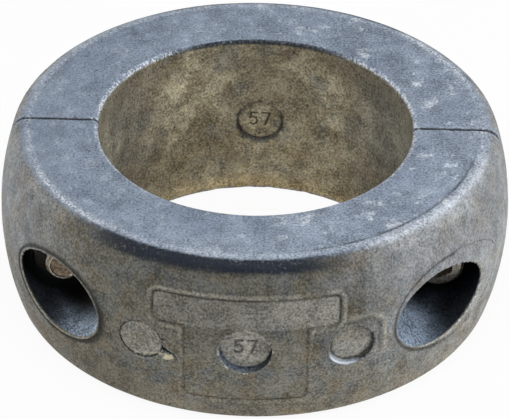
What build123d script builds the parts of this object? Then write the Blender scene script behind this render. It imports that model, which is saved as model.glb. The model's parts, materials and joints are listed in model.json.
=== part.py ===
from build123d import *
import os

# Clamp-on shaft anode in two equal cast halves, drawn together by two socket head
# screws and nuts. Millimetres. +Z is up along the shaft axis, the split faces lie on
# either side of the XZ plane, and the collar stands on its end face at z = 0.

# Cast collar
bore_diameter = 57.15
end_wall = 15.1
belly_rise = 2.95
collar_height = 34.0
edge_round = 3.0
bore_edge_round = 1.0
split_gap = 0.6
split_edge_round = 0.5

# Screws and nuts, quarter inch
screw_diameter = 6.35
screw_length = 34.925
screw_end_chamfer = 0.5
head_diameter = 9.525
head_height = 6.35
head_edge_chamfer = 0.5
key_width = 4.763
key_depth = 3.1
nut_width = 11.113
nut_height = 5.556
nut_edge_chamfer = 0.5
thread_clearance = 0.05

# Screw pockets
screw_wall = 1.5
screw_hole_clearance = 0.35
seat_distance = 12.4
pocket_diameter = 14.8
pocket_floor_round = 2.4
lip_depth = 0.3
nut_lip_width = 0.55
head_lip_width = 1.65
head_lip_shift = 1.3
head_lip_rise = 0.6
nut_recess_depth = 4.1
nut_clearance = 0.15

# Marks left by the pins of the die
size_mark_diameter = 9.2
size_mark_depth = 1.9
pin_mark_diameter = 7.8
pin_mark_depth = 0.5
pin_mark_gap = 9.8
pin_mark_drop = 0.5
bore_mark_diameter = 8.8
bore_mark_depth = 0.6
bore_mark_drop = 1.1

# T-shaped panel left by the die insert that carries the marks
insert_bar_width = 32.6
insert_bar_height = 5.8
insert_bar_rise = 7.4
insert_stem_width = 21.6
insert_stem_drop = 11.1
insert_corner = 1.2
insert_depth = 0.15

# Sizes that follow from the ones above
bore_radius = bore_diameter / 2
end_radius = bore_radius + end_wall
belly_radius = end_radius + belly_rise
mid_height = collar_height / 2
screw_hole_radius = screw_diameter / 2 + screw_hole_clearance
screw_offset = bore_radius + screw_wall + screw_hole_radius
nut_floor_distance = seat_distance + nut_recess_depth
pin_mark_offset = size_mark_diameter / 2 + pin_mark_gap + pin_mark_diameter / 2

STANDING = (Align.CENTER, Align.CENTER, Align.MIN)
HANGING = (Align.CENTER, Align.CENTER, Align.MAX)
HALF_TURN = Rot(0, 0, 180)


def facing_out(x, distance, drop=0.0):
    """Plane of the front half that looks out from the split, at a distance from it."""
    origin = (x, -distance, mid_height - drop)
    return Plane(origin=origin, x_dir=(1, 0, 0), z_dir=(0, -1, 0))


def round_core(x, distance, diameter, drop=0.0):
    """Round core that stands out from a plane of the front half, past its side."""
    return facing_out(x, distance, drop) * Cylinder(diameter / 2, belly_radius, align=STANDING)


def hexagon(width):
    """Hexagon with its flats to the left and right."""
    return RegularPolygon(width / 2, 6, major_radius=False, rotation=30)


def barrel_side(inset=0.0):
    """The bulged side of the collar, from end face to end face."""
    end = end_radius - inset
    belly = belly_radius - inset
    return ThreePointArc((end, 0), (belly, mid_height), (end, collar_height))


def solid_barrel(inset):
    """The collar's outside as a full body, sunk by the inset."""
    side = barrel_side(inset)
    rim = Polyline(side @ 1, (0, collar_height), (0, 0), side @ 0)
    return revolve(Plane.XZ * make_face([side, rim]), Axis.Z)


def collar_ring():
    """The whole collar before it is split, with its edges rounded."""
    side = barrel_side()
    walls = Polyline(side @ 1, (bore_radius, collar_height), (bore_radius, 0), side @ 0)
    section = make_face([side, walls])
    section = fillet(section.vertices().group_by(Axis.X)[-1], edge_round)
    section = fillet(section.vertices().group_by(Axis.X)[0], bore_edge_round)
    return revolve(Plane.XZ * section, Axis.Z)


def half_blank():
    """The front half of the collar, with softened edges along the split."""
    width = 2 * belly_radius
    front = Box(width, belly_radius, collar_height, align=(Align.CENTER, Align.MAX, Align.MIN))
    half = collar_ring() & Pos(0, -split_gap / 2, 0) * front
    split_faces = half.faces().group_by(Axis.Y)[-1]
    return fillet(split_faces.edges(), split_edge_round)


def pocket(x, floor_distance):
    """Round screw pocket that runs out through the bulged side."""
    core = round_core(x, floor_distance, pocket_diameter)
    floor_edge = core.edges().group_by(Axis.Y)[-1]
    return fillet(floor_edge, pocket_floor_round)


def pocket_lip(x, width, rise=0.0):
    """Shallow step that follows the side round the mouth of a pocket."""
    core = round_core(x, seat_distance, pocket_diameter + 2 * width, -rise)
    return core - solid_barrel(lip_depth)


def screw_hole(x):
    """Clearance hole from a pocket to the split face."""
    return facing_out(x, 0) * Cylinder(screw_hole_radius, nut_floor_distance, align=STANDING)


def nut_recess(x):
    """Hexagonal seat that keeps the nut from turning."""
    outline = hexagon(nut_width + 2 * nut_clearance)
    return extrude(facing_out(x, seat_distance) * outline, nut_recess_depth + pocket_floor_round)


def insert_outline():
    """T-shaped outline of the die insert, its bar above its stem."""
    bar = Pos(0, insert_bar_rise) * Rectangle(insert_bar_width, insert_bar_height)
    stem_height = insert_bar_rise + insert_stem_drop
    stem_middle = (insert_bar_rise - insert_stem_drop) / 2
    stem = Pos(0, stem_middle) * Rectangle(insert_stem_width, stem_height)
    outline = bar + stem
    return fillet(outline.vertices(), insert_corner)


def insert_panel():
    """Shallow panel that follows the side inside the insert's outline."""
    core = extrude(facing_out(0, bore_radius) * insert_outline(), belly_radius)
    return core - solid_barrel(insert_depth)


def size_mark():
    """Flat-bottomed round recess at the middle of the side."""
    return round_core(0, belly_radius - size_mark_depth, size_mark_diameter)


def pin_mark(x):
    """Shallow round recess that follows the side."""
    pin = round_core(x, bore_radius, pin_mark_diameter, pin_mark_drop)
    return pin - solid_barrel(pin_mark_depth)


def bore_mark():
    """Flat-bottomed round recess in the bore wall."""
    floor = facing_out(0, bore_radius + bore_mark_depth, bore_mark_drop)
    return floor * Cylinder(bore_mark_diameter / 2, bore_radius, align=HANGING)


def half_casting():
    """The casting both halves are made from, shown as the front one."""
    half = half_blank()
    half -= pocket(screw_offset, seat_distance)
    half -= pocket_lip(screw_offset + head_lip_shift, head_lip_width, head_lip_rise)
    half -= pocket(-screw_offset, nut_floor_distance)
    half -= pocket_lip(-screw_offset, nut_lip_width)
    half -= nut_recess(-screw_offset)
    for x in (-screw_offset, screw_offset):
        half -= screw_hole(x)
    half -= insert_panel()
    half -= size_mark()
    for x in (-pin_mark_offset, pin_mark_offset):
        half -= pin_mark(x)
    return half - bore_mark()


def clamp_screw():
    """Socket head cap screw, its head standing on z = 0 and its shank below."""
    shank = Cylinder(screw_diameter / 2, screw_length, align=HANGING)
    shank = chamfer(shank.edges().group_by(Axis.Z)[0], screw_end_chamfer)
    head = Cylinder(head_diameter / 2, head_height, align=STANDING)
    head = chamfer(head.edges().group_by(Axis.Z)[-1], head_edge_chamfer)
    key_socket = extrude(Pos(0, 0, head_height) * hexagon(key_width), -key_depth)
    return head - key_socket + shank


def clamp_nut():
    """Hexagon nut standing on z = 0, its corners turned off at both faces."""
    corner_radius = RegularPolygon(nut_width / 2, 6, major_radius=False).radius
    turned = Cylinder(corner_radius, nut_height, align=STANDING)
    rims = turned.edges().filter_by(GeomType.CIRCLE)
    turned = chamfer(rims, nut_edge_chamfer)
    nut = extrude(hexagon(nut_width), nut_height) & turned
    hole = Cylinder(screw_diameter / 2 + thread_clearance, nut_height, align=STANDING)
    return nut - hole


front_half = half_casting()
screw = facing_out(screw_offset, seat_distance) * clamp_screw()
nut = facing_out(-screw_offset, seat_distance) * clamp_nut()

nodes = {
    "front_half": front_half,
    "rear_half": HALF_TURN * front_half,
    "clamp_screw_right": screw,
    "clamp_screw_left": HALF_TURN * screw,
    "clamp_nut_left": nut,
    "clamp_nut_right": HALF_TURN * nut,
}

os.makedirs("parts", exist_ok=True)
for name, solid in nodes.items():
    export_step(solid, f"parts/{name}.step")
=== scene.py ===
import json
import math

import bmesh
import bpy
import numpy as np
from mathutils import Matrix, Vector, noise


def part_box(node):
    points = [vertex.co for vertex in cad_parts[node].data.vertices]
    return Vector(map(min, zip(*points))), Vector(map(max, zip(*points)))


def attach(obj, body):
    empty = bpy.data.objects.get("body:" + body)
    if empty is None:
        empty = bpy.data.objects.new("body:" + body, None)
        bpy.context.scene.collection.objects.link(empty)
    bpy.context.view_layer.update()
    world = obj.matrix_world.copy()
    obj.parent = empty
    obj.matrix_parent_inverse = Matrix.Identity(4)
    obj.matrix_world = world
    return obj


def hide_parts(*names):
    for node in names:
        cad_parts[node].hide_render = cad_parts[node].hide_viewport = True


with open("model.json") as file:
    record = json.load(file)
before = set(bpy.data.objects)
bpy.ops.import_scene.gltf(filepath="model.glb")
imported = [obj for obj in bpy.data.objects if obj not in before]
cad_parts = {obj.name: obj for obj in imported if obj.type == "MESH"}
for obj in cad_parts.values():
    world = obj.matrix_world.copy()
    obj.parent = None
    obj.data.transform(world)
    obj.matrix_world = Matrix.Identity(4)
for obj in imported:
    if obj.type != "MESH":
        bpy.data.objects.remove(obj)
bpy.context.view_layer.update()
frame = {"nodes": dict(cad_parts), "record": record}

# Sizes in millimetres, read from the frame where it has them
MM = 0.001
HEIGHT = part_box("front_half")[1].z / MM
MID = HEIGHT / 2
BORE_RADIUS = frame["record"]["mounts"][0]["dims"]["r_mm"]
SEAT = -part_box("clamp_nut_left")[1].y / MM
SCREW_X = sum(corner.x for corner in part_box("clamp_screw_right")) / 2 / MM
SCREW_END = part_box("clamp_screw_right")[1].y / MM
HEAD_TOP = -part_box("clamp_screw_right")[0].y / MM
HEAD_RADIUS = (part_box("clamp_screw_right")[1].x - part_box("clamp_screw_right")[0].x) / 2 / MM

# Casting
BELLY_RADIUS = 46.625
END_RADIUS = 43.675
BARREL_ARC = (MID ** 2 + (BELLY_RADIUS - END_RADIUS) ** 2) / (2 * (BELLY_RADIUS - END_RADIUS))
EDGE_ROUND = 3.0
CREASE_RADIUS = 41.4
CREASE_LINE_RADIUS = CREASE_RADIUS - 0.75
POCKET_RADIUS = 7.4
LIP_DEPTH = 0.3
NUT_LIP_RADIUS = 7.95
HEAD_LIP_X = SCREW_X + 1.3
HEAD_LIP_Z = MID + 0.6
HEAD_LIP_RADIUS = 9.05
SIZE_MARK_RADIUS = 4.6
SIZE_MARK_FLOOR = BELLY_RADIUS - 1.9
PIN_MARK_X = 18.3
PIN_MARK_Z = MID - 0.5
PIN_MARK_RADIUS = 3.9
BORE_MARK_RADIUS = 4.4
BORE_MARK_Z = MID - 1.1
BORE_MARK_FLOOR = BORE_RADIUS + 0.6

# In the frame of the front half, the marks, seams and pocket mouths lie before these values of y
MARKS_Y = -38
SEAMS_Y = -30
MOUTHS_Y = -10

# Die insert and the pad beside it: centre x and z, half width, half height and corner radius
INSERT_BAR = (0.0, MID + 7.4, 16.3, 2.9, 1.2)
INSERT_STEM = (0.0, MID - 1.85, 10.8, 9.25, 1.2)
MARK_PAD = (17.4, MID + 0.05, 6.5, 5.1, 3.0)

# Distance of their seams from their outlines, outwards
INSERT_RIDGE = 0.65
INSERT_GROOVE = -0.05
PAD_GROOVE = -0.75

# Plain size number: its height, width and gap, half its stroke, and its digits in a unit square
DIGIT_HEIGHT = 2.6
DIGIT_WIDTH = 0.62 * DIGIT_HEIGHT
DIGIT_GAP = 0.5 * DIGIT_WIDTH
DIGIT_STROKE = 0.2
DIGIT_DEPTH = 0.3
FIVE = [(0.88, 1.0), (0.2, 1.0), (0.13, 0.56), (0.45, 0.65), (0.76, 0.57), (0.9, 0.33),
        (0.76, 0.09), (0.42, 0.0), (0.08, 0.13)]
SEVEN = [(0.06, 1.0), (0.92, 1.0), (0.36, 0.0)]

# Flaw beside the left pin mark: x and z of its middle, strokes and spots
FLAW_MIDDLE = (-14.6, 14.6)
CRACK = ((-14.3, 15.7), (-12.3, 14.5))
RIM_BREAK = ((-19.4, 12.9), (-14.4, 14.2))
SCRATCH = ((-24.3, 11.7), (-10.9, 6.2))
FLAKE = (-13.6, 14.1)
PIT = (-14.6, 17.6)

# Quarter inch screws
SHANK_RADIUS = 3.175
THREAD_PITCH = 1.27
THREAD_DEPTH = 0.62
THREAD_LENGTH = 25.4
END_CHAMFER = 0.6
KEY_WIDTH = 4.763
KEY_DEPTH = 3.1

# Density and evenness of the cast meshes
CELL = 0.65
OCTREE_DEPTH = 8
SMOOTH_ROUNDS = 4
RELAX_ROUNDS = 4

# Rims that the remesh leaves blunt: shares of the pocket radius, and how far out the tips begin
RIM_REACH = 1.13
RIM_WALL = 1.008
RIM_SUNK = 1.02
TIP_ASIDE = 6.9


def smooth_step(low, high, value):
    """Rises smoothly from 0 at low to 1 at high."""
    t = np.clip((value - low) / (high - low), 0, 1)
    return t * t * (3 - 2 * t)


def bell(distance, width):
    """1 at no distance, falling away smoothly over the width."""
    return np.exp(-(distance / width) ** 2)


def lumps(points, size, seed):
    """Smooth noise from about -1 to 1 with lumps of the given size."""
    places = points / size + seed
    return np.array([noise.noise(place) for place in places.tolist()])


def stroke_distance(u, w, start, end):
    """Distance in the drawing plane from each point to a straight stroke."""
    du, dw = end[0] - start[0], end[1] - start[1]
    along = np.clip(((u - start[0]) * du + (w - start[1]) * dw) / (du * du + dw * dw), 0, 1)
    return np.hypot(u - start[0] - along * du, w - start[1] - along * dw)


def rounded_box(u, w, box):
    """Signed distance to a rounded rectangle, negative inside."""
    cx, cz, half_width, half_height, corner = box
    du = np.abs(u - cx) - half_width + corner
    dw = np.abs(w - cz) - half_height + corner
    outside = np.hypot(np.maximum(du, 0), np.maximum(dw, 0))
    return outside + np.minimum(np.maximum(du, dw), 0) - corner


def insert_distance(u, w):
    """Signed distance to the outline of the die insert."""
    return np.minimum(rounded_box(u, w, INSERT_BAR), rounded_box(u, w, INSERT_STEM))


# Distances on a casting, in the frame of the front half


def shaft_radius(p):
    """Distance from the shaft axis."""
    return np.hypot(p[:, 0], p[:, 1])


def outward(p, n):
    """How far the normals point away from the shaft axis, from -1 to 1."""
    return (n[:, 0] * p[:, 0] + n[:, 1] * p[:, 1]) / shaft_radius(p)


def side_depth(p):
    """Signed distance to the bulged side, negative inside the casting."""
    return np.hypot(shaft_radius(p) - BELLY_RADIUS + BARREL_ARC, p[:, 2] - MID) - BARREL_ARC


def side_radius(z, inset):
    """Distance from the shaft axis to the bulged side sunk by the inset."""
    return BELLY_RADIUS - BARREL_ARC + np.sqrt((BARREL_ARC - inset) ** 2 - (z - MID) ** 2)


def from_axis(p, x, z):
    """Distance from the axis of a round form that faces the front."""
    return np.hypot(p[:, 0] - x, p[:, 2] - z)


def nut_lip(p):
    """Signed distance to the outline of the nut pocket's lip."""
    return from_axis(p, -SCREW_X, MID) - NUT_LIP_RADIUS


def head_lip(p):
    """Signed distance to the outline of the head pocket's lip."""
    return from_axis(p, HEAD_LIP_X, HEAD_LIP_Z) - HEAD_LIP_RADIUS


def head_rim(p):
    """Signed distance to the wall of the head pocket."""
    return from_axis(p, SCREW_X, MID) - POCKET_RADIUS


def upper_right(p, x, z, reach):
    """Rises from 0 at the lower left of a round mark to 1 at its upper right."""
    return smooth_step(-reach, reach, (p[:, 0] - x + p[:, 2] - z) / math.sqrt(2))


# Mesh tools


def settle(piece):
    """Applies the modifiers of a piece to its mesh."""
    graph = bpy.context.evaluated_depsgraph_get()
    mesh = bpy.data.meshes.new_from_object(piece.evaluated_get(graph))
    piece.modifiers.clear()
    piece.data = mesh


def weld(mesh):
    """Joins the vertices that lie on one place."""
    grid = bmesh.new()
    grid.from_mesh(mesh)
    bmesh.ops.remove_doubles(grid, verts=grid.verts, dist=0.001 * MM)
    grid.to_mesh(mesh)
    grid.free()


def dense_copy(node):
    """A finely meshed copy of a CAD node as a new object, its edges kept sharp."""
    mesh = frame["nodes"][node].data.copy()
    weld(mesh)
    piece = bpy.data.objects.new(node + "_casting", mesh)
    bpy.context.scene.collection.objects.link(piece)
    remesh = piece.modifiers.new("remesh", "REMESH")
    remesh.mode = "SHARP"
    remesh.octree_depth = OCTREE_DEPTH
    remesh.scale = 2 * BELLY_RADIUS / (CELL * 2 ** OCTREE_DEPTH)
    remesh.use_remove_disconnected = False
    settle(piece)
    return piece


def wrap_to(piece, node):
    """Brings every vertex of a piece onto the CAD surface."""
    wrap = piece.modifiers.new("wrap", "SHRINKWRAP")
    wrap.target = frame["nodes"][node]
    wrap.wrap_method = "NEAREST_SURFACEPOINT"
    settle(piece)


def coordinates(mesh):
    """Vertex positions in millimetres."""
    flat = np.empty(len(mesh.vertices) * 3)
    mesh.vertices.foreach_get("co", flat)
    return flat.reshape(-1, 3) / MM


def normals(mesh):
    """Vertex normals."""
    flat = np.empty(len(mesh.vertices) * 3)
    mesh.vertices.foreach_get("normal", flat)
    return flat.reshape(-1, 3)


def edge_ends(mesh):
    """The first and the second vertex of every edge."""
    ends = np.empty(len(mesh.edges) * 2, np.int64)
    mesh.edges.foreach_get("vertices", ends)
    return ends[0::2], ends[1::2]


def place_vertices(mesh, points):
    """Moves the vertices to positions in millimetres."""
    mesh.vertices.foreach_set("co", (points * MM).ravel())
    mesh.update()


def paint(mesh, name, values):
    """Stores one number for each vertex."""
    mesh.attributes.new(name, "FLOAT", "POINT").data.foreach_set("value", values.astype(np.float32))


def refine(mesh, chosen):
    """Splits the edges between chosen vertices once."""
    grid = bmesh.new()
    grid.from_mesh(mesh)
    edges = [e for e in grid.edges if chosen[e.verts[0].index] and chosen[e.verts[1].index]]
    bmesh.ops.subdivide_edges(grid, edges=edges, cuts=1, use_grid_fill=True)
    grid.to_mesh(mesh)
    grid.free()


def smoothed(mesh, points, rounds):
    """Positions after some rounds of moving each vertex to the middle of its neighbours."""
    a, b = edge_ends(mesh)
    size = len(points)
    count = np.bincount(a, minlength=size) + np.bincount(b, minlength=size)
    for _ in range(rounds):
        total = [np.bincount(a, points[b, k], size) + np.bincount(b, points[a, k], size) for k in range(3)]
        points = np.stack(total, axis=1) / count[:, None]
    return points


def sharpness(mesh, points, facing):
    """How far each vertex stands out from its smoothed neighbourhood, in millimetres."""
    return np.sum((points - smoothed(mesh, points, SMOOTH_ROUNDS)) * facing, axis=1)


def relax(piece, node, turn, zone):
    """Spreads the vertices of a zone evenly over the CAD surface."""
    for _ in range(RELAX_ROUNDS):
        points = coordinates(piece.data)
        moved = smoothed(piece.data, points, 1)
        chosen = zone(points @ turn)
        points[chosen] = moved[chosen]
        place_vertices(piece.data, points)
        wrap_to(piece, node)


def mend_rims(mesh, turn):
    """Draws the rims of the pockets out to the knife edges that the remesh loses."""
    points = coordinates(mesh) @ turn
    depth = side_depth(points)
    aside, height = np.abs(points[:, 0]) - SCREW_X, points[:, 2] - MID
    across = np.hypot(aside, height) / POCKET_RADIUS
    near = (aside > 0) & (points[:, 1] < MOUTHS_Y) & (across < RIM_REACH)

    # Lip vertices joined straight to the pocket's wall, and those sunk inside the casting
    lip = near & (across > RIM_WALL) & (depth > -LIP_DEPTH - 0.15)
    wall = near & (across < RIM_WALL) & (depth < -LIP_DEPTH - 0.2)
    sunk = near & (across > RIM_SUNK) & (depth < -LIP_DEPTH - 0.1) & (depth > -1)
    a, b = edge_ends(mesh)
    joined = np.concatenate([a[lip[a] & wall[b]], b[lip[b] & wall[a]]])
    lost = np.union1d(joined, np.flatnonzero(sunk))
    points[lost, 0] = np.sign(points[lost, 0]) * (SCREW_X + aside[lost] / across[lost])
    points[lost, 2] = MID + height[lost] / across[lost]
    points[lost, 1] = -np.sqrt(side_radius(points[lost, 2], LIP_DEPTH) ** 2 - points[lost, 0] ** 2)

    beside = near & (aside > TIP_ASIDE) & (depth > -2 * LIP_DEPTH)
    beside[lost] = False
    points[beside] = smoothed(mesh, points, 2)[beside]
    place_vertices(mesh, points @ turn.T)


# Zones of a casting that need a finer mesh


def front_panel(p):
    """The marked front of a casting."""
    return (np.abs(p[:, 0]) < 25) & (p[:, 1] < MARKS_Y + 2) & (np.abs(p[:, 2] - MID) < 13)


def near_mouths(p, nut_shift, nut_reach, rim_reach, lip_reach, depth):
    """Within reach of the nut pocket's lip and of the head pocket's rim and lip, down to a depth."""
    nut = np.abs(nut_lip(p) + nut_shift) < nut_reach
    head = (np.abs(head_rim(p)) < rim_reach) | (np.abs(head_lip(p)) < lip_reach)
    return (nut | head) & (side_depth(p) > -depth) & (p[:, 1] < MOUTHS_Y)


def pocket_mouths(p):
    """The lips of both pockets."""
    return near_mouths(p, nut_shift=0.3, nut_reach=1.2, rim_reach=1.0, lip_reach=0.8, depth=1.5)


def rims(p):
    """Both pocket mouths, wide enough for their rims to settle."""
    to_wall = NUT_LIP_RADIUS - POCKET_RADIUS
    return near_mouths(p, nut_shift=to_wall, nut_reach=1.3, rim_reach=1.0, lip_reach=0.9, depth=1.6)


def fine_lips(p):
    """The rims and grooves of both pockets."""
    return near_mouths(p, nut_shift=0.2, nut_reach=0.75, rim_reach=0.5, lip_reach=0.4, depth=0.8)


def fine_marks(p):
    """The size mark, the rims of the pin marks, the flaw, and the seams of the insert and its pad."""
    u, w = p[:, 0], p[:, 2]
    size = from_axis(p, 0, MID) < SIZE_MARK_RADIUS + 0.3
    pins = np.abs(np.hypot(np.abs(u) - PIN_MARK_X, w - PIN_MARK_Z) - PIN_MARK_RADIUS) < 0.8
    flaw = from_axis(p, *FLAW_MIDDLE) < 2.6
    insert = insert_distance(u, w)
    pad = (np.abs(rounded_box(u, w, MARK_PAD)) < 0.7) & (insert > 0)
    seams = (np.abs(insert - 0.4) < 1.0) | pad
    return (size | pins | flaw | seams) & (p[:, 1] < MARKS_Y + 1)


def digit_floor(p):
    """Where the size number is cut into the size mark."""
    on_floor = np.abs(p[:, 1] + SIZE_MARK_FLOOR) < 0.3
    return on_floor & (np.abs(p[:, 0]) < 2.5) & (np.abs(p[:, 2] - MID) < 1.6)


def bore_mark_zone(p):
    """The mark in the bore wall."""
    on_bore = np.abs(p[:, 1] + BORE_RADIUS) < 2.5
    return on_bore & (from_axis(p, 0, BORE_MARK_Z) < BORE_MARK_RADIUS + 0.6)


def crease_line(p):
    """The end face beside the right stretch of its outer crease."""
    beside = np.abs(shaft_radius(p) - CREASE_LINE_RADIUS) < 0.9
    return beside & (p[:, 2] > HEIGHT - 0.6) & (p[:, 0] > 4) & (p[:, 1] < -2)


def bore_rim(p):
    """The upper edge of the bore."""
    return (shaft_radius(p) < BORE_RADIUS + 1.8) & (p[:, 2] > HEIGHT - 2.4)


# A zone listed twice is refined twice
REFINED_ZONES = (front_panel, pocket_mouths, fine_marks, fine_lips, digit_floor,
                 bore_mark_zone, bore_mark_zone, crease_line, crease_line, bore_rim)


# Relief of a casting, in millimetres along its normals


def digits_distance(u, w):
    """Distance to the strokes of a plain size number, centred on the origin."""
    nearest = np.full_like(u, 99.0)
    for left, strokes in ((-DIGIT_WIDTH - DIGIT_GAP / 2, FIVE), (DIGIT_GAP / 2, SEVEN)):
        points = [(left + a * DIGIT_WIDTH, (b - 0.5) * DIGIT_HEIGHT) for a, b in strokes]
        for start, end in zip(points, points[1:]):
            nearest = np.minimum(nearest, stroke_distance(u, w, start, end))
    return nearest


def digits(p, n):
    """The strokes of the size number on the floors of the size mark and the bore mark, 0 to 1."""
    side_floor = (np.abs(p[:, 1] + SIZE_MARK_FLOOR) < 0.25) & (n[:, 1] < -0.8)
    bore_floor = (np.abs(p[:, 1] + BORE_MARK_FLOOR) < 0.25) & (n[:, 1] > 0.8)
    on_side = digits_distance(p[:, 0], p[:, 2] - MID)
    in_bore = digits_distance(-p[:, 0], p[:, 2] - BORE_MARK_Z)
    strokes = np.where(side_floor, on_side, np.where(bore_floor, in_bore, 99.0))
    return smooth_step(DIGIT_STROKE + 0.1, DIGIT_STROKE - 0.1, strokes)


def seam_strength(p):
    """How strongly the seams of the insert show, patchy and weaker down its stem."""
    patchy = np.clip(0.8 + 0.8 * lumps(p, 5.0, 3.1), 0.15, 1.2)
    return patchy * (0.45 + 0.55 * smooth_step(17, 22, p[:, 2]))


def pad_strength(p, insert):
    """How strongly the pad's seam shows, clear of the insert and fading downwards."""
    patchy = np.clip(0.9 + 0.5 * lumps(p, 4.0, 13.7), 0.4, 1.2)
    return patchy * smooth_step(0.3, 1.1, insert) * (0.15 + 0.85 * smooth_step(12.0, 15.5, p[:, 2]))


def head_lip_strength(p):
    """How strongly the step round the head pocket shows, worn away towards its right."""
    return smooth_step(5.0, -2.0, p[:, 0] - HEAD_LIP_X)


def seam_relief(p):
    """The patchy raised seam and fine groove round the die insert, and the seam of its pad."""
    u, w = p[:, 0], p[:, 2]
    insert = insert_distance(u, w)
    pad = rounded_box(u, w, MARK_PAD)
    raised = 0.1 + 0.1 * smooth_step(0, 12, u)
    seam = raised * bell(insert - INSERT_RIDGE, 0.4) - 0.14 * bell(insert - INSERT_GROOVE, 0.2)
    ridge = 0.24 * bell(pad, 0.42) - 0.08 * bell(pad - PAD_GROOVE, 0.25)
    front = (side_depth(p) > -0.4) & (p[:, 1] < SEAMS_Y)
    return (seam_strength(p) * seam + pad_strength(p, insert) * ridge) * front


def lip_relief(p, n):
    """Groove round the lip of each pocket, the nut pocket's raised rim, the head lip worn to the right."""
    nut, head = nut_lip(p), head_lip(p)
    shown = head_lip_strength(p)
    grooves = (0.1 + 0.1 * upper_right(p, -SCREW_X, MID, 3.0)) * bell(nut - 0.05, 0.2)
    grooves += 0.1 * shown * bell(head, 0.2)
    rim = 0.16 * bell(nut + 0.36, 0.22)
    worn = 0.28 * (1 - shown) * smooth_step(0.2, -0.2, head) * (p[:, 0] > 0)
    on_side = (side_depth(p) > -0.6) & (p[:, 1] < MOUTHS_Y)
    return (rim - grooves + worn) * smooth_step(0.6, 0.9, outward(p, n)) * on_side


def pin_relief(p):
    """The left pin mark nearly flush, the right one deeper towards its lower left."""
    floors = [smooth_step(PIN_MARK_RADIUS - 0.05, PIN_MARK_RADIUS - 0.45, from_axis(p, x, PIN_MARK_Z))
              for x in (-PIN_MARK_X, PIN_MARK_X)]
    lower_left = (PIN_MARK_X - p[:, 0] + PIN_MARK_Z - p[:, 2]) / math.sqrt(2) / PIN_MARK_RADIUS
    front = (side_depth(p) > -1) & (p[:, 1] < SEAMS_Y)
    return front * (0.34 * floors[0] - 0.3 * floors[1] * (1 + lower_left))


def flaw_relief(p):
    """The crack, the broken rim, the pit and the scratch beside the left pin mark."""
    u, w = p[:, 0], p[:, 2]
    crack = stroke_distance(u, w, *CRACK) + 0.12 * lumps(p, 0.7, 5.3) + 0.12 * (u - CRACK[0][0])
    depth = 0.8 * smooth_step(0.55, 0.2, crack) + 0.5 * smooth_step(0.45, 0.1, from_axis(p, *PIT))
    depth += 0.05 * bell(stroke_distance(u, w, *SCRATCH), 0.25) * (lumps(p, 2.5, 9.1) > -0.2)
    rim = stroke_distance(u, w, *RIM_BREAK) + 0.25 * lumps(p, 0.8, 7.7)
    ragged = np.clip(0.25 + lumps(p, 0.6, 1.9), 0, 1)
    depth += 0.25 * smooth_step(0.75, 0.3, rim) * ragged
    return -depth * (p[:, 1] < MARKS_Y)


def cast_relief(p, n, seed):
    """Uneven skin of the casting: slow waves, lumps and fine dimples."""
    rough_side = 0.55 + 0.45 * smooth_step(0.8, 0.5, np.abs(n[:, 2]))
    waves = 0.05 * lumps(p, 13.0, seed) + 0.035 * lumps(p, 4.5, seed + 7)
    return rough_side * (waves + 0.022 * lumps(p, 1.6, seed + 19))


def split_relief(p, n):
    """Uneven split faces that nearly meet."""
    face = smooth_step(0.3, 0.9, n[:, 1]) * (p[:, 1] > -1)
    return face * (0.12 + 0.12 * lumps(p, 1.8, 12.4))


def edge_nicks(p, stand_out, seed):
    """Small dents along the sharp edges, slight on the side."""
    hits = smooth_step(0.25, 0.6, lumps(p, 2.2, seed + 31)) * smooth_step(0.1, 0.26, stand_out)
    on_side = (side_depth(p) > -1) & (np.abs(p[:, 2] - MID) < MID - 3)
    return -0.2 * hits * np.where(on_side, 0.1, 1)


# Painted zones of a casting


def paint_skins(mesh, p, n):
    """Stores where the casting has which skin: bore, end faces, pockets and floors of the marks."""
    in_bore = shaft_radius(p) < BORE_RADIUS + 1.2
    bore = smooth_step(-0.8, -0.95, outward(p, n)) * in_bore
    paint(mesh, "bore", bore)

    # End faces, with their rounds at the bore and along the split
    level = np.abs(n[:, 2])
    end = np.where(in_bore, 1 - bore, smooth_step(0.86, 0.97, level))
    along_split = np.abs(p[:, 1]) < 1.2
    end = np.where(along_split, np.maximum(end, smooth_step(0.1, 0.3, level)), end)
    paint(mesh, "end", end * (np.abs(p[:, 2] - MID) > MID - 1.6))

    # Pockets with painted shade inwards and at their outer sides, and the wall of the size mark with painted
    # shade
    depth = side_depth(p)
    aside = np.abs(p[:, 0]) - SCREW_X
    hole = (np.hypot(aside, p[:, 2] - MID) < POCKET_RADIUS + 0.25) * (p[:, 1] < -5) * (1 - bore)
    inner = np.where(p[:, 0] < 0, smooth_step(-1.0, -8.0, depth), smooth_step(-5.5, -12.5, depth))
    outer = 0.9 * smooth_step(-3.5, 2.5, aside)
    size = from_axis(p, 0, MID) / SIZE_MARK_RADIUS
    mark_wall = smooth_step(-0.15, -0.5, depth) * (np.abs(size - 1) < 0.06) * (p[:, 1] < MARKS_Y)
    mark_shade = 0.9 - 0.5 * smooth_step(3.0, -3.0, p[:, 0] + 0.4 * (p[:, 2] - MID))
    paint(mesh, "pocket", np.maximum(smooth_step(-0.4, -0.7, depth) * hole, 0.9 * mark_wall))
    # The walls of the pockets and of the size mark darkened as painted shade
    paint(mesh, "pocket_shade", np.maximum(np.maximum(inner, outer) * hole, mark_shade * mark_wall))

    # Floors of the marks and the bar of the insert
    floor = smooth_step(0.98, 0.9, size)
    for x, share in ((-PIN_MARK_X, 0.55), (PIN_MARK_X, 0.4)):
        pin = from_axis(p, x, PIN_MARK_Z) / PIN_MARK_RADIUS
        floor = np.maximum(floor, share * smooth_step(0.98, 0.9, pin))
    paint(mesh, "floor", floor * (n[:, 1] < -0.8) * (p[:, 1] < MARKS_Y))
    bar = rounded_box(p[:, 0], p[:, 2], INSERT_BAR)
    paint(mesh, "panel", smooth_step(0.2, -0.4, bar) * (p[:, 1] < MARKS_Y))


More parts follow.
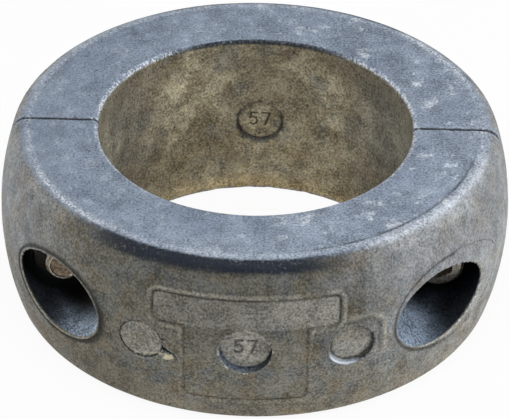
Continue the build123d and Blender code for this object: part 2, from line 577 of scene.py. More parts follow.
def crease_shadow(p, flawed):
    """Dark line on the end face along the right of its outer crease, faint on the rear half."""
    shadow_and_dirt_line = bell(shaft_radius(p) - CREASE_LINE_RADIUS, 0.24) * (p[:, 2] > HEIGHT - 0.5)
    patchy = np.clip(0.8 + 0.7 * lumps(p, 3.0, 4.4), 0.2, 1) * (1 if flawed else 0.3)
    return shadow_and_dirt_line * patchy * smooth_step(5, 16, p[:, 0]) * smooth_step(-4, -14, p[:, 1])


def bore_mark_shadow(p):
    """Dark rim of the mark in the bore wall, open at its top."""
    ring = bell(from_axis(p, 0, BORE_MARK_Z) - BORE_MARK_RADIUS + 0.15, 0.3)
    return ring * smooth_step(3.2, -0.5, p[:, 2] - BORE_MARK_Z) * (shaft_radius(p) < BORE_RADIUS + 1.4)


def pin_shadow(p):
    """Dark lower right of the right pin mark."""
    ring = bell(from_axis(p, PIN_MARK_X, PIN_MARK_Z) - PIN_MARK_RADIUS + 0.15, 0.36)
    lower_right = (p[:, 0] - PIN_MARK_X) * 0.9 - (p[:, 2] - PIN_MARK_Z) * 0.43
    return ring * smooth_step(1.6, 2.9, lower_right)


def paint_lines(mesh, p, n, flawed):
    """Stores the dark lines, painted shadows with some dirt, and the pale beads, painted highlights, of the
    lips, marks and seams.
    """
    u, w = p[:, 0], p[:, 2]
    on_side = (side_depth(p) > -0.7) & (p[:, 1] < MOUTHS_Y)
    nut = nut_lip(p)
    nut_upper = upper_right(p, -SCREW_X, MID, 3.0)
    nut_shown = np.clip(1.1 + 0.6 * lumps(p, 4.0, 6.6), 0.6, 1)
    insert = insert_distance(u, w)
    shown = seam_strength(p) * (p[:, 1] < SEAMS_Y)
    pad = rounded_box(u, w, MARK_PAD)
    pad_shown = pad_strength(p, insert) * (p[:, 1] < SEAMS_Y)
    # Painted shadows at the lips' outer walls, the seams' grooves and the right pin mark's lower right
    lines = [1.5 * nut_shown * bell(nut - 0.02 - 0.18 * nut_upper, 0.22 + 0.28 * nut_upper),
             0.9 * head_lip_strength(p) * bell(head_lip(p), 0.26),
             0.8 * shown * bell(insert - INSERT_GROOVE, 0.2),
             0.35 * shown * bell(insert - 2 * INSERT_RIDGE, 0.2),
             0.45 * pad_shown * bell(pad - PAD_GROOVE, 0.25),
             1.4 * pin_shadow(p)]
    lines = [np.minimum(shadow_and_dirt_line, 1) * on_side for shadow_and_dirt_line in lines]
    # Painted shadows at the crease and the bore mark's rim; the digits dark with dirt
    lines += [crease_shadow(p, flawed), 0.9 * bore_mark_shadow(p), 0.7 * digits(p, n)]
    paint(mesh, "shadow_and_dirt_line", np.maximum.reduce(lines))

    head_lower = smooth_step(-1.0, 3.0, (u - SCREW_X - w + MID) / math.sqrt(2))
    # Painted highlights on the raised lips, rims and seams
    beads = [bell(nut + 0.38, 0.22), head_lower * bell(head_rim(p) - 0.2, 0.22),
             shown * bell(insert - INSERT_RIDGE, 0.38), pad_shown * bell(pad, 0.42)]
    paint(mesh, "bead_highlight", np.clip(np.maximum.reduce(beads), 0, 1) * on_side)


def paint_edges(mesh, p, n, stand_out, flawed):
    """Stores worn edges, the rubbed creases and the bore's upper edge with painted highlights, and the dark
    bands at the upper edges: a painted dark reflection on the outer round and painted shade under the bore's
    rim.
    """
    radius = shaft_radius(p)
    rise = np.abs(p[:, 2] - MID)
    fillet = (rise > MID - EDGE_ROUND - 0.3) & (radius > END_RADIUS - EDGE_ROUND - 1)
    in_bore = radius < BORE_RADIUS + 1.6
    along_split = (np.abs(p[:, 1]) < 1.2) & ~in_bore
    calm = fillet | along_split | in_bore | (np.abs(nut_lip(p)) < 0.7)
    edge = smooth_step(0.05, 0.25, stand_out) * np.where(calm, 0.1, 1)

    # Outer crease, worn and with painted highlight: flecked all along, scuffed at the left and rubbed bright
    # at the right
    near_ends = rise > MID - 2.2
    flecked = 0.5 * bell(radius - CREASE_RADIUS, 0.6)
    scuffed_highlight = bell(radius - CREASE_RADIUS - 0.3, 0.55)
    scuffed_highlight *= smooth_step(-23, -28, p[:, 0]) * smooth_step(-12, -20, p[:, 1])
    rubbed_highlight = bell(radius - CREASE_RADIUS - 0.9, 0.8) * (1 if flawed else 0.4)
    rubbed_highlight *= smooth_step(18, 26, p[:, 0]) * smooth_step(-3, -14, p[:, 1])
    edge = np.maximum(edge, np.maximum.reduce([flecked, scuffed_highlight, 0.6 * rubbed_highlight]) * near_ends)
    paint(mesh, "rubbed_highlight", np.maximum(0.45 * scuffed_highlight, rubbed_highlight) * near_ends)

    # Upper edge of the bore: painted highlight at the sides, painted shade at the middle
    aside = np.abs(p[:, 0])
    rim = smooth_step(0.3, 0.6, n[:, 2]) * smooth_step(0.995, 0.96, n[:, 2]) * in_bore
    edge = np.maximum(edge, rim * (0.1 + 0.7 * smooth_step(13, 20, aside)))
    paint(mesh, "edge", edge)
    # Dark bands: a painted dark reflection on the front's outer round, painted shade under the bore's rim
    under_rim = smooth_step(HEIGHT - 1.0, HEIGHT - 0.6, p[:, 2]) * smooth_step(0.95, 0.85, n[:, 2]) * in_bore
    slope = smooth_step(0.25, 0.5, n[:, 2]) * smooth_step(0.99, 0.93, n[:, 2]) * fillet
    reach = smooth_step(-33, -21, p[:, 0]) * smooth_step(22, 8, p[:, 0])
    paint(mesh, "reflection_and_shade_band", np.maximum(slope * reach, under_rim * smooth_step(24, 9, aside)))


def paint_hollows(mesh, p, n, stand_out, flawed):
    """Stores dirt and painted shade in the hollows, painted shade in the split between the halves, and the
    crack painted dark.
    """
    hollow_dirt_and_shade = smooth_step(-0.02, -0.09, stand_out)
    in_bore = shaft_radius(p) < BORE_RADIUS + 1.6
    bore_mark = in_bore & (from_axis(p, 0, BORE_MARK_Z) > BORE_MARK_RADIUS - 0.5)
    # Painted shade: the bore mark's rim darker below, fading upwards
    hollow_dirt_and_shade *= np.where(bore_mark, smooth_step(4.0, -1.0, p[:, 2] - BORE_MARK_Z), 1)
    on_front = p[:, 1] < MARKS_Y
    left_pin = on_front & (from_axis(p, -PIN_MARK_X, PIN_MARK_Z) < PIN_MARK_RADIUS + 0.6)
    # Painted shade at the left pin mark's lower left
    hollow_dirt_and_shade *= np.where(left_pin, 0.7 - 0.6 * upper_right(p, -PIN_MARK_X, PIN_MARK_Z, 1.5), 1)
    # Painted shade in the gap of the split
    gap = smooth_step(0.35, 0.65, np.abs(n[:, 1])) * (np.abs(p[:, 1]) < 0.9)
    crack = stroke_distance(p[:, 0], p[:, 2], *CRACK) + 0.1 * (p[:, 0] - CRACK[0][0])
    crack = smooth_step(0.5, 0.3, crack) * on_front * flawed
    paint(mesh, "hollow_dirt_and_shade", np.maximum.reduce([gap, hollow_dirt_and_shade, crack]))


def paint_breaks_and_lit_crescent(mesh, p, flawed):
    """Stores the pale breaks of the flaw, and the bright crescent of the right pin mark: a painted highlight
    on its lit lower wall, with a painted sheen above it.
    """
    shown = flawed * (p[:, 1] < MARKS_Y)
    flake = np.hypot(p[:, 0] - FLAKE[0], (p[:, 2] - FLAKE[1]) / 0.75) + 0.45 * lumps(p, 0.6, 8.8)
    broken = stroke_distance(p[:, 0], p[:, 2] - 0.35, *RIM_BREAK) + 0.3 * lumps(p, 0.7, 2.7)
    pale = np.maximum(smooth_step(1.1, 0.6, flake), 0.6 * smooth_step(0.3, 0.1, broken))
    paint(mesh, "pale", pale * shown)
    # Painted highlight on the lit lower wall of the right pin mark, with a painted sheen above it
    across = from_axis(p, PIN_MARK_X, PIN_MARK_Z) - PIN_MARK_RADIUS
    lower_left = (PIN_MARK_X - p[:, 0]) * 0.48 + (PIN_MARK_Z - p[:, 2]) * 0.88
    crescent = smooth_step(-0.7, -0.1, across) * smooth_step(0.3, 0.05, across)
    crescent *= smooth_step(1.6, 3.7, lower_left) * (0.3 + 0.7 * smooth_step(-0.8, -0.2, side_depth(p)))
    paint(mesh, "lit_crescent", crescent * shown)


def make_casting(node, turn, seed, flawed):
    """One half of the collar with the relief and the painted zones of its casting."""
    piece = dense_copy(node)
    mend_rims(piece.data, turn)
    for zone in REFINED_ZONES:
        refine(piece.data, zone(coordinates(piece.data) @ turn))
    relax(piece, node, turn, rims)
    mend_rims(piece.data, turn)
    mesh = piece.data
    mesh.shade_smooth()
    points, facing = coordinates(mesh), normals(mesh)
    p, n = points @ turn, facing @ turn
    paint_skins(mesh, p, n)
    paint_lines(mesh, p, n, flawed)

    relief = seam_relief(p) + lip_relief(p, n) + pin_relief(p) + split_relief(p, n)
    relief += cast_relief(p, n, seed) - DIGIT_DEPTH * digits(p, n)
    relief += edge_nicks(p, sharpness(mesh, points, facing), seed)
    if flawed:
        relief += flaw_relief(p)
    points = points + facing * relief[:, None]
    place_vertices(mesh, points)

    stand_out = sharpness(mesh, points, facing)
    p, n = points @ turn, normals(mesh) @ turn
    paint_edges(mesh, p, n, stand_out, flawed)
    paint_hollows(mesh, p, n, stand_out, flawed)
    paint_breaks_and_lit_crescent(mesh, p, flawed)
    mesh.materials.clear()
    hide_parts(node)
    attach(piece, "root")
    return piece


# Screws

RING = 96
ANGLES = np.arange(RING) * 2 * math.pi / RING
HEXAGON = 1 / np.cos((ANGLES + math.pi / 6) % (math.pi / 3) - math.pi / 6)
CIRCLE = np.ones(RING)
KNURL = 1 - 0.022 * (np.arange(RING) % 2)
RINGS_PER_TURN = 8
RUN_IN_RINGS = 12


def thread_radii(depth_below_head):
    """Radius of the threaded shank round one ring."""
    turn = (depth_below_head / THREAD_PITCH + ANGLES / (2 * math.pi)) % 1
    crest = np.clip(1.35 * np.abs(2 * turn - 1) - 0.12, 0, 1)
    return SHANK_RADIUS - THREAD_DEPTH * (1 - crest)


def head_rings():
    """Rings from the floor of the key socket over the head to its foot: radii, height and stain."""
    top = HEAD_TOP - SEAT
    key = HEXAGON * (KEY_WIDTH / 2)
    socket = [(key * 0.5, top - KEY_DEPTH - 0.35, 1), (key, top - KEY_DEPTH, 1),
              (key, top - 0.35, 0.5), (key * 1.08, top, 0)]
    edge = [(CIRCLE * (HEAD_RADIUS - 0.75), top, 0), (CIRCLE * (HEAD_RADIUS - 0.6), top - 0.06, 0),
            (CIRCLE * (HEAD_RADIUS - 0.12), top - 0.55, 0)]
    side = [(KNURL * HEAD_RADIUS, top - 0.75, 0), (KNURL * HEAD_RADIUS, 0.7, 0)]
    foot = [(CIRCLE * (HEAD_RADIUS - 0.12), 0.5, 0), (CIRCLE * (HEAD_RADIUS - 0.4), 0, 0)]
    return socket + edge + side + foot


def shank_rings():
    """Rings of the plain shank, its thread and its end with a punched ring: radii, height and stain."""
    length = SEAT + SCREW_END
    rings = [(CIRCLE * (SHANK_RADIUS + 0.25), 0, 0), (CIRCLE * SHANK_RADIUS, -0.25, 0),
             (CIRCLE * SHANK_RADIUS, THREAD_LENGTH - length, 0)]
    steps = int(THREAD_LENGTH / THREAD_PITCH * RINGS_PER_TURN)
    for step in range(1, steps + 1):
        below = length - THREAD_LENGTH + THREAD_LENGTH * step / steps
        turned_off = SHANK_RADIUS - max(0, END_CHAMFER - (length - below))
        run_in = min(1, step / RUN_IN_RINGS)
        radii = SHANK_RADIUS + (thread_radii(below) - SHANK_RADIUS) * run_in
        rings.append((np.minimum(radii, turned_off), -below, 0.6 * (turned_off < SHANK_RADIUS)))
    end = SHANK_RADIUS - END_CHAMFER
    rings += [(CIRCLE * (end - 0.06), -length, 0), (CIRCLE * (end - 0.24), -length, 0),
              (CIRCLE * (end - 0.42), -length + 0.22, 0.9), (CIRCLE * (end - 0.9), -length + 0.3, 1)]
    return rings


def make_screw(node, turn):
    """Socket head screw with its thread, in place of a CAD screw."""
    rings = head_rings() + shank_rings()
    local = np.concatenate([np.stack([np.cos(ANGLES) * r, np.sin(ANGLES) * r, np.full(RING, z)], axis=1)
                            for r, z, _ in rings])
    out = np.stack([local[:, 0] + SCREW_X, -local[:, 2] - SEAT, local[:, 1] + MID], axis=1) @ turn
    following = np.roll(np.arange(RING), -1)
    faces = [tuple(range(RING))]
    for k in range(len(rings) - 1):
        low, high = k * RING, (k + 1) * RING
        faces += [(low + i, high + i, high + j, low + j) for i, j in enumerate(following.tolist())]
    last = (len(rings) - 1) * RING
    faces.append(tuple(range(last + RING - 1, last - 1, -1)))
    mesh = bpy.data.meshes.new(node + "_threaded")
    mesh.from_pydata((out * MM).tolist(), [], faces)
    mesh.shade_smooth()
    mesh.set_sharp_from_angle(angle=math.radians(38))
    paint(mesh, "stain", np.repeat([stain for _, _, stain in rings], RING))
    piece = bpy.data.objects.new(node + "_threaded", mesh)
    bpy.context.scene.collection.objects.link(piece)
    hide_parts(node)
    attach(piece, "root")
    return piece


# Materials


def colour(red, green, blue):
    """Linear colour from the usual 0 to 255 values."""
    def linear(value):
        value /= 255
        return value / 12.92 if value <= 0.04045 else ((value + 0.055) / 1.055) ** 2.4
    return (linear(red), linear(green), linear(blue), 1)


# Colours of the end faces
END_PALE = colour(135, 146, 161)
END_DARK = colour(120, 131, 147)
END_DULL = colour(112, 124, 140)
END_SCUFFED = colour(192, 199, 208)

# Colours of the side
SIDE_FRONT = colour(119, 117, 107)
SIDE_FAR = colour(150, 153, 155)
SIDE_BROWN = colour(118, 103, 77)
SIDE_BLUE = colour(100, 109, 115)
SIDE_FRONT_SHADED = colour(58, 57, 51)
SIDE_FAR_SHADED = colour(100, 102, 105)
SIDE_FOOT = colour(140, 127, 102)
SIDE_LOW_LEFT = colour(78, 71, 56)
INSERT_PALE = colour(150, 148, 141)
FLOOR_PALE = colour(174, 171, 162)
# Painted highlight on the raised beads
BEAD_HIGHLIGHT = colour(168, 164, 150)

# Colours of the bore
BORE_DARK = colour(160, 151, 128)
BORE_PALE = colour(194, 185, 158)
BORE_BROWN = colour(124, 110, 84)
BORE_BLUE = colour(130, 133, 128)
BORE_ASIDE = colour(90, 92, 91)
# Painted shade under the bore's upper rim
BORE_TOP_SHADE = colour(84, 76, 60)
BORE_LOW = colour(118, 102, 68)
BORE_FOOT = colour(196, 174, 124)

# Colours of the pockets, and the painted shade inside them
POCKET_LEFT = colour(140, 154, 170)
POCKET_RIGHT = colour(121, 135, 152)
POCKET_SHADE = colour(9, 9, 10)

# Colours of dirt and wear, and of painted highlights, reflections and shade
# Painted highlight on the rubbed creases
RUBBED_HIGHLIGHT = colour(190, 196, 204)
# Painted dark reflection and shade of the upper bands
DARK_REFLECTION_AND_SHADE = colour(24, 31, 41)
# Dirt, and painted shade in hollows, gaps and along lines
DIRT_AND_SHADE = colour(28, 28, 27)
DOTS = colour(52, 50, 46)
# Worn edges with painted highlights
WORN_HIGHLIGHT = colour(226, 231, 237)
BROKEN = colour(204, 196, 168)
# Painted sheen and highlight of the right pin mark's lit crescent
LIT_CRESCENT_SHEEN = colour(130, 140, 153)
LIT_CRESCENT_HIGHLIGHT = colour(212, 217, 225)

# Colours of the steel, each darker and lighter
# The nuts' dark colours are painted shade
NUT_SHADE = (colour(26, 25, 23), colour(62, 58, 52))
SCREW_BRIGHT = (colour(120, 114, 102), colour(196, 190, 178))
SCREW_STAINED = (colour(104, 88, 70), colour(168, 146, 118))


class Paint:
    """One node material whose textures are measured in millimetres."""

    def __init__(self, name):
        self.material = bpy.data.materials.new(name)
        self.material.use_nodes = True
        self.nodes = self.material.node_tree.nodes
        self.shader = self.nodes["Principled BSDF"]
        place = self.nodes.new("ShaderNodeTexCoord")
        scaled = self.nodes.new("ShaderNodeMapping")
        scaled.inputs["Scale"].default_value = (1 / MM, 1 / MM, 1 / MM)
        self.feed(scaled.inputs["Vector"], place.outputs["Object"])
        self.places = scaled.outputs["Vector"]

    def feed(self, socket, value):
        """Links a socket to an output, or sets it to a plain value."""
        if isinstance(value, bpy.types.NodeSocket):
            self.material.node_tree.links.new(value, socket)
        else:
            socket.default_value = value

    def shade(self, **values):
        """Feeds sockets of the shader, named with underscores for spaces."""
        for name, value in values.items():
            self.feed(self.shader.inputs[name.replace("_", " ")], value)

    def noise(self, size, detail=3.0, roughness=0.6, shift=0.0):
        """Cloudy texture with lumps of the given size."""
        node = self.nodes.new("ShaderNodeTexNoise")
        node.noise_dimensions = "4D"
        self.feed(node.inputs["Vector"], self.places)
        self.feed(node.inputs["W"], shift)
        self.feed(node.inputs["Scale"], 1 / size)
        self.feed(node.inputs["Detail"], detail)
        self.feed(node.inputs["Roughness"], roughness)
        return node.outputs["Fac"]

    def attribute(self, name):
        """A painted zone."""
        node = self.nodes.new("ShaderNodeAttribute")
        node.attribute_name = name
        return node.outputs["Fac"]

    def between(self, value, low, high, to_low=0.0, to_high=1.0):
        """Goes smoothly from one value to another as the input goes from low to high."""
        node = self.nodes.new("ShaderNodeMapRange")
        node.interpolation_type = "SMOOTHSTEP"
        for name, number in zip(("From Min", "From Max", "To Min", "To Max"), (low, high, to_low, to_high)):
            node.inputs[name].default_value = number
        self.feed(node.inputs["Value"], value)
        return node.outputs["Result"]

    def math(self, operation, first, second):
        """One sum, difference, product or maximum."""
        node = self.nodes.new("ShaderNodeMath")
        node.operation = operation
        self.feed(node.inputs[0], first)
        self.feed(node.inputs[1], second)
        return node.outputs[0]

    def times(self, first, second):
        """The product of two values."""
        return self.math("MULTIPLY", first, second)

    def mix(self, share, first, second):
        """Blends two colours."""
        node = self.nodes.new("ShaderNodeMix")
        node.data_type = "RGBA"
        self.feed(node.inputs["Factor"], share)
        self.feed(node.inputs["A"], first)
        self.feed(node.inputs["B"], second)
        return node.outputs["Result"]

    def scale(self, first, share):
        """Brightens or darkens a colour."""
        node = self.nodes.new("ShaderNodeVectorMath")
        node.operation = "SCALE"
        self.feed(node.inputs[0], first)
        self.feed(node.inputs["Scale"], share)
        return node.outputs["Vector"]

    def axis(self, name):
        """One coordinate of the place, in millimetres."""
        node = self.nodes.new("ShaderNodeSeparateXYZ")
        self.feed(node.inputs[0], self.places)
        return node.outputs[name]

    def bump(self, height, depth):
        """Fine unevenness of the given depth in millimetres."""
        node = self.nodes.new("ShaderNodeBump")
        node.inputs["Distance"].default_value = depth * MM
        self.feed(node.inputs["Height"], height)
        self.feed(self.shader.inputs["Normal"], node.outputs["Normal"])


class ZincPaint(Paint):
    """Dull cast zinc: the textures that its skins share, and each skin."""

    def __init__(self, name):
        super().__init__(name)
        self.across, self.along, self.up = self.axis("X"), self.axis("Y"), self.axis("Z")
        self.patch = self.noise(11.0, 4.0, 0.5, 4.2)
        self.brown = self.noise(4.0, 4.0, 0.6, 33.1)
        self.blue = self.noise(3.6, 4.0, 0.6, 44.7)
        cloud = self.noise(3.0, 3.0, 0.55, 1.7)
        grain = self.noise(0.42, 1.0, 0.5)
        self.tone = self.math("ADD", self.times(cloud, 0.4), self.times(grain, 0.6))
        far = self.between(self.math("ADD", self.across, self.times(self.patch, 30.0)), 22, 52)
        far = self.math("MAXIMUM", far, self.between(self.across, -26.0, -46.0, 0, 0.9))
        self.far = self.times(far, self.between(self.up, 6.0, 26.0, 0.5, 1.2))

    def end(self):
        """Blue-grey end faces, duller to the left and rear, scuffed to the right."""
        skin = self.mix(self.between(self.patch, 0.4, 0.64), END_PALE, END_DARK)
        left = self.between(self.across, 0.0, -34.0, 0, 0.4)
        rear = self.between(self.along, 15.0, 42.0, 0, 0.35)
        skin = self.mix(self.math("ADD", left, rear), skin, END_DULL)
        scuff = self.between(self.noise(3.2, 5.0, 0.65, 61.0), 0.54, 0.66)
        scuff = self.times(scuff, self.between(self.across, -20.0, 30.0, 0.22, 0.85))
        return self.mix(scuff, skin, END_SCUFFED)

    def side(self):
        """Brown-grey side, paler at its far ends, shaded above and tan at its foot."""
        skin = self.mix(self.far, SIDE_FRONT, SIDE_FAR)
        skin = self.mix(self.between(self.brown, 0.46, 0.62, 0, 0.48), skin, SIDE_BROWN)
        skin = self.mix(self.between(self.blue, 0.48, 0.62, 0, 0.48), skin, SIDE_BLUE)
        shaded = self.mix(self.far, SIDE_FRONT_SHADED, SIDE_FAR_SHADED)
        skin = self.mix(self.between(self.up, 10.0, 27.0, 0, 0.42), skin, shaded)
        skin = self.mix(self.between(self.up, 10.0, 0.5, 0, 0.4), skin, SIDE_FOOT)
        left = self.between(self.across, -12.0, -24.0, 0, 0.4)
        skin = self.mix(self.times(left, self.between(self.up, 24.0, 12.0)), skin, SIDE_LOW_LEFT)
        panel = self.times(self.attribute("panel"), self.between(self.across, -6.0, 14.0, 0.33, 0.6))
        return self.mix(panel, skin, INSERT_PALE)

    def bore(self):
        """Stained bore, greyer at its sides, with painted shade at its top, and yellow at its foot."""
        skin = self.mix(self.between(self.patch, 0.6, 0.42), BORE_DARK, BORE_PALE)
        skin = self.mix(self.between(self.brown, 0.44, 0.62, 0, 0.6), skin, BORE_BROWN)
        skin = self.mix(self.between(self.blue, 0.5, 0.66, 0, 0.55), skin, BORE_BLUE)
        left = self.between(self.across, -14.0, -26.0, 0, 0.6)
        right = self.between(self.across, 11.0, 24.0, 0, 0.7)
        skin = self.mix(self.math("MAXIMUM", left, right), skin, BORE_ASIDE)
        # Painted shade under the bore's upper rim
        skin = self.mix(self.between(self.up, 26.0, 33.0, 0, 0.4), skin, BORE_TOP_SHADE)
        skin = self.mix(self.between(self.up, 20.0, 9.0, 0, 0.35), skin, BORE_LOW)
        return self.mix(self.between(self.up, 4.5, 0.6, 0, 0.4), skin, BORE_FOOT)

    def pocket(self):
        """Blue-grey pocket walls with painted shade inwards."""
        wall = self.mix(self.between(self.across, -25.0, 25.0), POCKET_LEFT, POCKET_RIGHT)
        # Painted shade deep in the pockets
        return self.mix(self.attribute("pocket_shade"), wall, POCKET_SHADE)

    def speckled(self, skin):
        """The skin with its grain, stronger in the bore and pockets and on the right of the end faces."""
        inside = self.math("MAXIMUM", self.attribute("bore"), self.times(self.attribute("pocket"), 1.4))
        strength = self.math("MAXIMUM", self.between(self.far, 0, 1, 1.15, 0.8), self.times(inside, 1.2))
        calm = self.times(self.attribute("end"), self.between(self.across, 0.0, 34.0, 0.25, -0.25))
        strength = self.math("SUBTRACT", strength, calm)
        speckle = self.math("SUBTRACT", self.between(self.tone, 0.3, 0.7), 0.5)
        return self.scale(skin, self.math("ADD", self.times(speckle, strength), 1.0))

    def worn(self, skin):
        """The skin with dark bands of painted reflection and shade, dirt with painted shade, dots, worn
        edges with painted highlights, bare metal at the breaks and the painted highlight of the lit
        crescent.
        """
        # Painted dark reflection and shade along the upper edges
        reflection_and_shade_band = self.times(self.attribute("reflection_and_shade_band"), self.between(self.tone, 0.7, 0.55, 0.6, 1))
        skin = self.mix(reflection_and_shade_band, skin, DARK_REFLECTION_AND_SHADE)
        # Dirt and painted shade in the hollows and along the lines
        dirt_and_shade = self.math("MAXIMUM", self.attribute("hollow_dirt_and_shade"), self.attribute("shadow_and_dirt_line"))
        skin = self.mix(self.times(dirt_and_shade, 0.85), skin, DIRT_AND_SHADE)
        skin = self.mix(self.between(self.noise(0.75, 1.0, 0.5, 12.5), 0.68, 0.76, 0, 0.6), skin, DOTS)
        flecks = self.between(self.noise(0.4, 2.0, 0.6, 15.5), 0.46, 0.6)
        # Worn edges with painted highlights
        skin = self.mix(self.times(self.times(self.attribute("edge"), flecks), 0.85), skin, WORN_HIGHLIGHT)
        skin = self.mix(self.attribute("pale"), skin, BROKEN)
        # Painted sheen and highlight of the right pin mark's lit crescent
        lit_crescent = self.attribute("lit_crescent")
        skin = self.mix(self.between(lit_crescent, 0.1, 0.5, 0, 0.8), skin, LIT_CRESCENT_SHEEN)
        return self.mix(self.between(lit_crescent, 0.5, 0.95, 0, 0.75), skin, LIT_CRESCENT_HIGHLIGHT)


def zinc_material():
    """Cast zinc with all its skins."""
    zinc = ZincPaint("cast_zinc")
    skin = zinc.mix(zinc.attribute("end"), zinc.side(), zinc.end())
    skin = zinc.mix(zinc.attribute("bore"), skin, zinc.bore())
    skin = zinc.mix(zinc.times(zinc.attribute("floor"), 0.75), skin, FLOOR_PALE)
    # Painted highlight on the raised beads
    skin = zinc.mix(zinc.times(zinc.attribute("bead_highlight"), 0.45), skin, BEAD_HIGHLIGHT)
    skin = zinc.mix(zinc.attribute("pocket"), skin, zinc.pocket())
    # Rubbed creases with painted highlight
    skin = zinc.mix(zinc.times(zinc.attribute("rubbed_highlight"), 0.6), skin, RUBBED_HIGHLIGHT)
    skin = zinc.worn(zinc.speckled(skin))
    zinc.shade(Base_Color=skin, Metallic=0.25, Specular_IOR_Level=0.2)
    zinc.shade(Roughness=zinc.between(zinc.tone, 0.32, 0.68, 0.7, 0.5))
    zinc.bump(zinc.tone, 0.18)
    return zinc.material


def nut_material():
    """Nut steel, painted dark as the shade deep in its pocket."""
    steel = Paint("shaded_nut_steel")
    speckle = steel.noise(0.5, 3.0, 0.65)
    skin = steel.mix(steel.between(speckle, 0.38, 0.64), *NUT_SHADE)
    steel.shade(Base_Color=skin, Metallic=0.5, Roughness=steel.between(speckle, 0.35, 0.65, 0.6, 0.42))
    steel.bump(speckle, 0.03)
    return steel.material


def steel_material():
    """Plain screw steel with brown stains on its end and in its socket."""
    steel = Paint("screw_steel")
    speckle = steel.noise(0.5, 3.0, 0.65)
    bright = steel.mix(steel.between(speckle, 0.38, 0.64), *SCREW_BRIGHT)
    stained = steel.mix(steel.between(speckle, 0.38, 0.64), *SCREW_STAINED)
    spots = steel.between(steel.noise(2.4), 0.55, 0.7, 0, 0.5)
    stain = steel.math("MAXIMUM", steel.attribute("stain"), spots)
    steel.shade(Base_Color=steel.mix(stain, bright, stained), Metallic=steel.between(stain, 0, 1, 0.8, 0.35))
    steel.shade(Roughness=steel.between(speckle, 0.35, 0.65, 0.45, 0.3))
    steel.bump(speckle, 0.03)
    return steel.material


# Camera fitted to the photograph, in millimetres, degrees and pixels
FOCAL_PIXELS = 3235.0
PHOTO_WIDTH = 510
SENSOR = 36.0
ELEVATION = 34.76
AZIMUTH = 1.6
ROLL = 0.7
DISTANCE = 587.5
AIM_RIGHT = 0.058
AIM_UP = -15.62


def make_camera():
    """Camera at the photograph's view, aimed from the middle of the upper end face."""
    a, e = math.radians(AZIMUTH), math.radians(ELEVATION)
    forward = Vector((-math.sin(a) * math.cos(e), math.cos(a) * math.cos(e), -math.sin(e)))
    right = Vector((math.cos(a), math.sin(a), 0))
    up = right.cross(forward)
    data = bpy.data.cameras.new("camera")
    data.sensor_width = SENSOR
    data.lens = FOCAL_PIXELS / PHOTO_WIDTH * SENSOR
    data.clip_start = 0.01
    data.clip_end = 10
    camera = bpy.data.objects.new("camera", data)
    bpy.context.scene.collection.objects.link(camera)
    place = Vector((0, 0, HEIGHT)) + right * AIM_RIGHT + up * AIM_UP - forward * DISTANCE
    turned = Matrix((right, up, -forward)).transposed() @ Matrix.Rotation(math.radians(ROLL), 3, "Z")
    camera.matrix_world = Matrix.Translation(place * MM) @ turned.to_4x4()
    bpy.context.scene.camera = camera


# Floor, world and lamps, in metres and watts
FLOOR_REACH = 3.0
FLOOR_GLOW = 0.93
WORLD_STRENGTH = 0.22


def seen_share(nodes, links, share):
    """The share for rays that show the background, 0 for those that light the object."""
    rays = nodes.new("ShaderNodeLightPath")
    total = rays.outputs["Is Camera Ray"]
    for name in ("Is Glossy Ray", "Is Transmission Ray"):
        most = nodes.new("ShaderNodeMath")
        most.operation = "MAXIMUM"
        links.new(total, most.inputs[0])
        links.new(rays.outputs[name], most.inputs[1])
        total = most.outputs[0]
    scaled = nodes.new("ShaderNodeMath")
    scaled.operation = "MULTIPLY"
    scaled.inputs[1].default_value = share
    links.new(total, scaled.inputs[0])
    return scaled.outputs[0]


def mix_by_ray(tree, share, lighting, seen, output):
    """Feeds an output with one shader for the rays that light, and mostly another for those that show."""
    mix = tree.nodes.new("ShaderNodeMixShader")
    tree.links.new(seen_share(tree.nodes, tree.links, share), mix.inputs[0])
    tree.links.new(lighting.outputs[0], mix.inputs[1])
    tree.links.new(seen.outputs[0], mix.inputs[2])
    tree.links.new(mix.outputs[0], tree.nodes[output].inputs["Surface"])


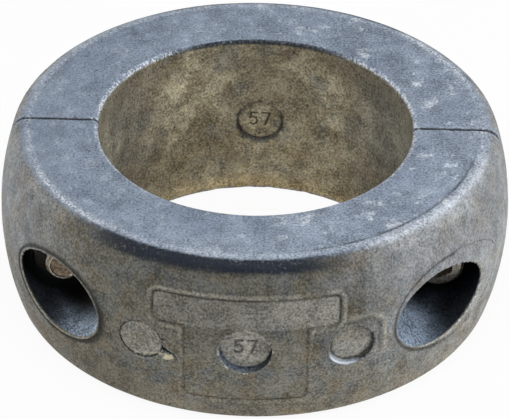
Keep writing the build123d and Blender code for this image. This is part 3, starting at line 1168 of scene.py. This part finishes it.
def make_floor():
    """White floor that keeps a pale shadow."""
    mesh = bpy.data.meshes.new("floor")
    corners = [(FLOOR_REACH * x, FLOOR_REACH * y, 0) for x, y in ((-1, -1), (1, -1), (1, 1), (-1, 1))]
    mesh.from_pydata(corners, [], [(0, 1, 2, 3)])
    floor = bpy.data.objects.new("floor", mesh)
    bpy.context.scene.collection.objects.link(floor)
    material = bpy.data.materials.new("floor_white")
    material.use_nodes = True
    tree = material.node_tree
    matt = tree.nodes["Principled BSDF"]
    matt.inputs["Base Color"].default_value = (0.8, 0.8, 0.8, 1)
    matt.inputs["Roughness"].default_value = 0.9
    mix_by_ray(tree, FLOOR_GLOW, matt, tree.nodes.new("ShaderNodeEmission"), "Material Output")
    mesh.materials.append(material)


def make_world():
    """Dim even light, white where it is seen."""
    world = bpy.data.worlds.new("studio")
    bpy.context.scene.world = world
    world.use_nodes = True
    tree = world.node_tree
    dim = tree.nodes["Background"]
    dim.inputs["Color"].default_value = (1, 1, 1, 1)
    dim.inputs["Strength"].default_value = WORLD_STRENGTH
    white = tree.nodes.new("ShaderNodeBackground")
    white.inputs["Strength"].default_value = 1.0
    mix_by_ray(tree, 1.0, dim, white, "World Output")


def add_softbox(name, place, size, power, tint):
    """Square area light that faces the collar."""
    data = bpy.data.lights.new(name, "AREA")
    data.size = size
    data.energy = power
    data.color = tint
    lamp = bpy.data.objects.new(name, data)
    bpy.context.scene.collection.objects.link(lamp)
    lamp.location = place
    lamp.rotation_euler = (Vector((0, 0, MID * MM)) - Vector(place)).to_track_quat("-Z", "Y").to_euler()


# The collar: a half turn about the shaft axis takes each piece of the front half to the rear
FRONT = np.eye(3)
REAR = np.diag((-1.0, -1.0, 1.0))
zinc = zinc_material()
steel = steel_material()
make_casting("front_half", FRONT, 2.3, True).data.materials.append(zinc)
make_casting("rear_half", REAR, 9.6, False).data.materials.append(zinc)
make_screw("clamp_screw_right", FRONT).data.materials.append(steel)
make_screw("clamp_screw_left", REAR).data.materials.append(steel)
shaded_nut_steel = nut_material()
for node in ("clamp_nut_left", "clamp_nut_right"):
    frame["nodes"][node].data.materials.clear()
    frame["nodes"][node].data.materials.append(shaded_nut_steel)

# The studio
make_camera()
make_floor()
make_world()
add_softbox("overhead", (0.0, -0.25, 0.75), 0.6, 4.0, (0.97, 0.98, 1.0))
add_softbox("left", (-0.75, 0.05, 0.25), 0.4, 2.5, (1.0, 0.98, 0.95))
add_softbox("right", (0.75, 0.0, 0.25), 0.4, 4.5, (1.0, 0.99, 0.98))

bpy.context.scene.view_settings.view_transform = "Standard"
